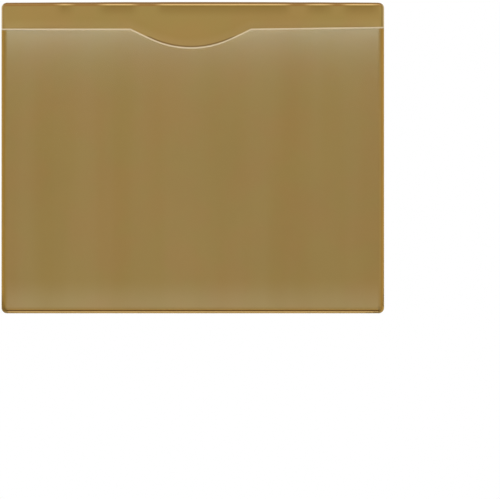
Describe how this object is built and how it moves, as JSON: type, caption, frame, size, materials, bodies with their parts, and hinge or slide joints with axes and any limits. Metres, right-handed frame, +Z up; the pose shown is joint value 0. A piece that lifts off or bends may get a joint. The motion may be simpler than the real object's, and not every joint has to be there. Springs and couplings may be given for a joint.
{
  "type": "magnetic document pocket",
  "caption": "Flat landscape pocket of opaque gold-brown vinyl with a clear front film, a thumb notch at its open top and magnet strips across the back.",
  "frame": {"origin": "centre of the upper magnet strip's contact face", "axes": "+X along the magnet strips, across the pocket; +Y out of the back, towards the steel that it is put on, so the clear front faces -Y; +Z up, towards the open top"},
  "size_m": [0.31, 0.0099, 0.252],
  "materials": {
    "vinyl_sheet": "satin",
    "clear_film": "gloss",
    "magnet_rubber": "matte",
    "adhesive_tape": "satin"
  },
  "bodies": {
    "root": {"back_sheet": "vinyl_sheet", "front_film": "clear_film", "upper_magnet_strip": "magnet_rubber", "lower_magnet_strip": "magnet_rubber", "upper_adhesive_tape": "adhesive_tape", "lower_adhesive_tape": "adhesive_tape"}
  },
  "joints": []
}
